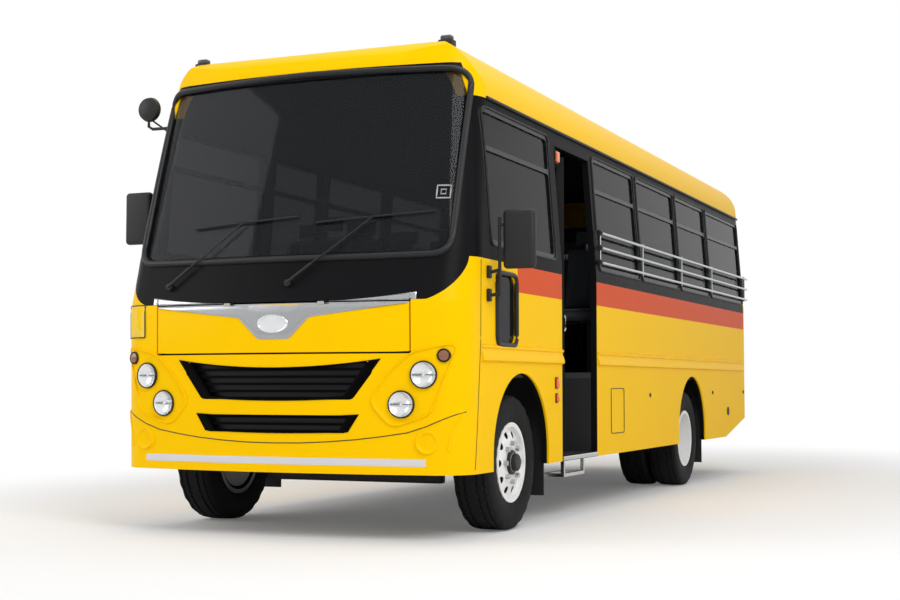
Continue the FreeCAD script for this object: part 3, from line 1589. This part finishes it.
def mudflaps():
    """Rubber flaps hung from the floor bearers behind the wheels."""
    flaps = []
    half = size.mudflap_thickness / 2
    for middle in (front_axle_y + size.mudflap_offset, rear_axle_y + size.mudflap_offset):
        x = (inner_x - size.mudflap_width, inner_x)
        flap = block(x, (middle - half, middle + half), (size.mudflap_low_z, size.rail_top_z), "mudflap")
        flaps += [flap, mirrored(flap)]
    return keep("mudflaps", gather(flaps))


def wipers():
    """Two arms with their blades, drawn upright in a plane that lies along the raked screen."""
    arms = []
    for pivot_x in (size.wiper_pivot_left, size.wiper_pivot_right):
        tip_x = pivot_x + size.wiper_length * WIPER_ACROSS_SHARE
        tip_z = size.wiper_length * WIPER_UP_SHARE
        wide = size.wiper_radius
        arm_corners = [
            (pivot_x, -wide), (pivot_x + wide, -wide), (tip_x, tip_z - wide), (tip_x, tip_z), (pivot_x, wide),
        ]
        arm = prism("XZ", arm_corners, -wide, 0, "wiper_arm")
        blade_half = size.wiper_blade_length / 2
        near_x, far_tip_x = tip_x - blade_half, tip_x + blade_half
        lift = blade_half * BLADE_UP_SHARE
        blade_corners = [
            (near_x, tip_z - lift - wide * 2), (far_tip_x, tip_z + lift - wide * 2),
            (far_tip_x, tip_z + lift), (near_x, tip_z - lift),
        ]
        blade = prism("XZ", blade_corners, -wide / 2, wide, "blade")
        boss = rod("y", wide * 2, -wide, size.wiper_boss, x=pivot_x, name="wiper_boss")
        arms.append(fuse([arm, blade, boss]))
    whole = gather(arms)
    turn(whole, (-1, 0, 0), size.wiper_tilt)
    place(whole, 0, nose_y + size.wiper_setback, size.wiper_pivot_z)
    return keep("wipers", seated(whole))


leaf_width = (size.door_end - size.door_start - size.leaf_gap * 2 - size.leaf_edge) / 2
leaf_z = (
    size.door_sill_z + size.pivot_height + size.leaf_gap, size.door_top_z - size.pivot_height - size.leaf_gap,
)


def leaf(y, x):
    """A framed door leaf with two glazed panels, drawn closed along the bus, and its glass."""
    frame = size.leaf_frame
    panel = block(x, y, leaf_z, "leaf")
    pane_y = (y[0] + frame, y[1] - frame)
    panes_z = (
        (leaf_z[0] + frame, size.leaf_rail_z - frame / 2), (size.leaf_rail_z + frame / 2, leaf_z[1] - frame),
    )
    glass_x = (x[0] + (size.leaf_thickness - size.glass) / 2, x[0] + (size.leaf_thickness + size.glass) / 2)
    holes = [plate(x, pane_y, z, size.leaf_radius, "x", "leaf_hole") for z in panes_z]
    glass = [plate(glass_x, pane_y, z, size.leaf_radius, "x", "leaf_glass") for z in panes_z]
    return cut(panel, holes), gather(glass)


def fold_steps(first):
    """The hinge knuckles that one leaf carries, every other one from the end or from the next."""
    return range(0 if first else 1, FOLD_KNUCKLES, 2)


fold_span = (leaf_z[1] - leaf_z[0]) / FOLD_KNUCKLES


def fold_reliefs(first, x=0, y=0):
    """Pockets in a leaf's edge that clear the other leaf's barrels."""
    radius = size.fold_barrel_radius + size.leaf_gap / 4
    lows = [leaf_z[0] + fold_span * step for step in fold_steps(not first)]
    return [rod("z", radius, low, low + fold_span, x, y, name="pocket") for low in lows]


def fold_barrels(first):
    """Hinge barrels on the fold line, with a little room between each leaf's and the next."""
    room = size.leaf_gap / 4
    lows = [leaf_z[0] + fold_span * step for step in fold_steps(first)]
    return [rod("z", size.fold_barrel_radius, low + room, low + fold_span - room, name="barrel") for low in lows]


def folding_door():
    """Two leaves, folded inwards as they stand open, each drawn about its own pin, then turned and placed."""
    half = size.leaf_thickness / 2
    angle = size.door_open_angle
    gap = size.leaf_gap / 2
    front_y = (-size.leaf_edge + size.leaf_gap, leaf_width - gap)
    front, front_glass = leaf(front_y, (-half, half))
    post_pin = rod("z", size.hinge_pin_radius, size.door_sill_z + gap, size.door_top_z - gap, name="post_pin")
    pin_z = (leaf_z[0] + size.leaf_gap, leaf_z[1] - size.leaf_gap)
    fold_pin = rod("z", size.fold_pin_radius, pin_z[0], pin_z[1], name="fold_pin")
    knuckles_and_pin = place(fuse(fold_barrels(True) + [fold_pin]), half, leaf_width, 0)
    front_leaf = fuse([cut(front, fold_reliefs(True, half, leaf_width)), post_pin, knuckles_and_pin])
    rear, rear_glass = leaf((gap, leaf_width), (-size.leaf_thickness, 0))
    bore = rod("z", size.fold_pin_radius + size.pin_gap, leaf_z[0], leaf_z[1], name="fold_bore")
    rear_leaf = cut(fuse([cut(rear, fold_reliefs(False))] + fold_barrels(False)), [bore])
    fold_x = leaf_mid_x + half * cosine(angle) - leaf_width * sine(angle)
    fold_y = post_y + half * sine(angle) + leaf_width * cosine(angle)
    post, fold = (leaf_mid_x, post_y), (fold_x, fold_y)
    for name, item, way, spot in (
        ("door_front_leaf", front_leaf, 1, post), ("door_front_glass", front_glass, 1, post),
        ("door_rear_leaf", rear_leaf, -1, fold), ("door_rear_glass", rear_glass, -1, fold),
    ):
        turn(item, (0, 0, way), angle)
        place(item, spot[0], spot[1], 0)
        keep(name, item)


front_bumper()
front_mask()
front_flap()
grille()
windscreen_surround()
windscreen()
side_panels()
roof()
rear_wall()
emergency_door()
window_frames()
side_glass()
lamps()
floor()
entry_steps()
foot_step()
chassis_frame()
cross_members()
floor_bearers()
front_axle()
rear_axle()
leaf_springs()
driveline()
exhaust()
fuel_tank()
knuckles()
front_wheels()
rear_wheels()
dashboard()
steering_wheel()
seats()
grab_poles()
mirrors()
guard_rails()
mudflaps()
wipers()
folding_door()
doc.recompute()

for item in doc.Objects:
    if "Invalid" in item.State or "Error" in item.State:
        raise RuntimeError(f"{item.Name} failed: {item.State}")
os.makedirs("parts", exist_ok=True)
for name, item in nodes.items():
    shape = item.Shape
    if shape.isNull() or not shape.isValid() or not shape.Solids:
        raise RuntimeError(f"{name} has no sound shape")
    shape.exportStep(f"parts/{name}.step")
